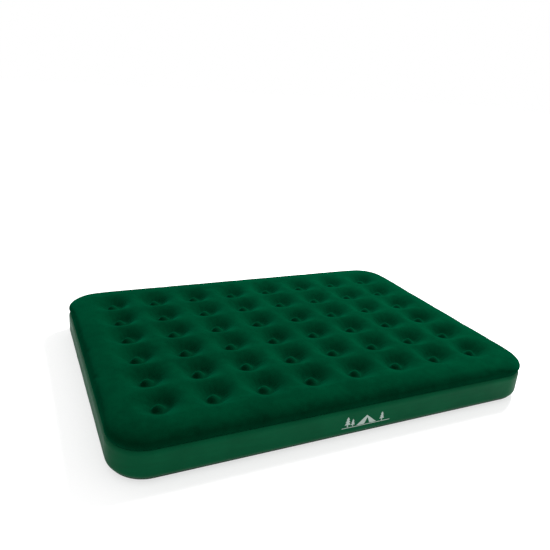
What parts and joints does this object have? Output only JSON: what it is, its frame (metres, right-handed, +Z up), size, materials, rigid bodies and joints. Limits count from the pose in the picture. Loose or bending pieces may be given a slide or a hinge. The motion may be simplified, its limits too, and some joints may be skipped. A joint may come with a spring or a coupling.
{
  "type": "air mattress",
  "caption": "Inflated double air bed with a dimpled flocked top, a smooth side wall, coil beams inside and a screw-in inflation valve in one end.",
  "frame": {"origin": "under the middle of the inflated bed, on the surface it lies on", "axes": "+X along the bed's length towards the end with the valve, +Y across its width, +Z up out of the sleeping surface"},
  "size_m": [1.9259, 1.37, 0.2],
  "materials": {
    "flocked_top": "short dark green flock on vinyl, matt with a soft sheen",
    "wall_vinyl": "smooth green vinyl, satin",
    "base_vinyl": "green vinyl with a fine embossed grain",
    "coil_vinyl": "plain green vinyl film",
    "valve_vinyl": "soft moulded green vinyl",
    "valve_plastic": "moulded black plastic",
    "seal_rubber": "soft black rubber",
    "spring_steel": "bright spring wire"
  },
  "bodies": {
    "root": {"top_sheet": "flocked_top", "bottom_sheet": "base_vinyl", "side_wall": "wall_vinyl", "coil_beam_1_1": "coil_vinyl", "coil_beam_1_2": "coil_vinyl", "coil_beam_1_3": "coil_vinyl", "coil_beam_1_4": "coil_vinyl", "coil_beam_1_5": "coil_vinyl", "coil_beam_1_6": "coil_vinyl", "coil_beam_1_7": "coil_vinyl", "coil_beam_1_8": "coil_vinyl", "coil_beam_2_1": "coil_vinyl", "coil_beam_2_2": "coil_vinyl", "coil_beam_2_3": "coil_vinyl", "coil_beam_2_4": "coil_vinyl", "coil_beam_2_5": "coil_vinyl", "coil_beam_2_6": "coil_vinyl", "coil_beam_2_7": "coil_vinyl", "coil_beam_2_8": "coil_vinyl", "coil_beam_3_1": "coil_vinyl", "coil_beam_3_2": "coil_vinyl", "coil_beam_3_3": "coil_vinyl", "coil_beam_3_4": "coil_vinyl", "coil_beam_3_5": "coil_vinyl", "coil_beam_3_6": "coil_vinyl", "coil_beam_3_7": "coil_vinyl", "coil_beam_3_8": "coil_vinyl", "coil_beam_4_1": "coil_vinyl", "coil_beam_4_2": "coil_vinyl", "coil_beam_4_3": "coil_vinyl", "coil_beam_4_4": "coil_vinyl", "coil_beam_4_5": "coil_vinyl", "coil_beam_4_6": "coil_vinyl", "coil_beam_4_7": "coil_vinyl", "coil_beam_4_8": "coil_vinyl", "coil_beam_5_1": "coil_vinyl", "coil_beam_5_2": "coil_vinyl", "coil_beam_5_3": "coil_vinyl", "coil_beam_5_4": "coil_vinyl", "coil_beam_5_5": "coil_vinyl", "coil_beam_5_6": "coil_vinyl", "coil_beam_5_7": "coil_vinyl", "coil_beam_5_8": "coil_vinyl", "coil_beam_6_1": "coil_vinyl", "coil_beam_6_2": "coil_vinyl", "coil_beam_6_3": "coil_vinyl", "coil_beam_6_4": "coil_vinyl", "coil_beam_6_5": "coil_vinyl", "coil_beam_6_6": "coil_vinyl", "coil_beam_6_7": "coil_vinyl", "coil_beam_6_8": "coil_vinyl", "valve_flange": "valve_vinyl"},
    "tether": {"plug_tether": "valve_vinyl"},
    "plug": {"valve_plug": "valve_plastic", "valve_seal": "seal_rubber", "flap_guide": "valve_plastic", "flap_spring": "spring_steel"},
    "flap": {"check_flap": "seal_rubber"},
    "cap": {"inflation_cap": "valve_plastic"}
  },
  "joints": [
    {"name": "plug_travel", "type": "slide", "parent": "root", "child": "tether", "axis": [1, 0, 0], "range_m": [0, 0.016], "deforming": ["plug_tether"]},
    {"name": "plug_turn", "type": "hinge", "parent": "tether", "child": "plug", "pos_m": [0.955, 0.385, 0.08], "axis": [1, 0, 0], "range_deg": [0, 600]},
    {"name": "flap_lift", "type": "slide", "parent": "plug", "child": "flap", "axis": [-1, 0, 0], "range_m": [0, 0.003], "stiffness_N_per_m": 150, "springref_m": -0.003, "deforming": ["flap_spring"]},
    {"name": "cap_hinge", "type": "hinge", "parent": "plug", "child": "cap", "pos_m": [0.9674, 0.385, 0.0975], "axis": [0, -1, 0], "range_deg": [0, 150]}
  ],
  "couplings": [
    {"joint": "plug_travel", "follows": "plug_turn", "m_per_rad": 0.0015279}
  ]
}
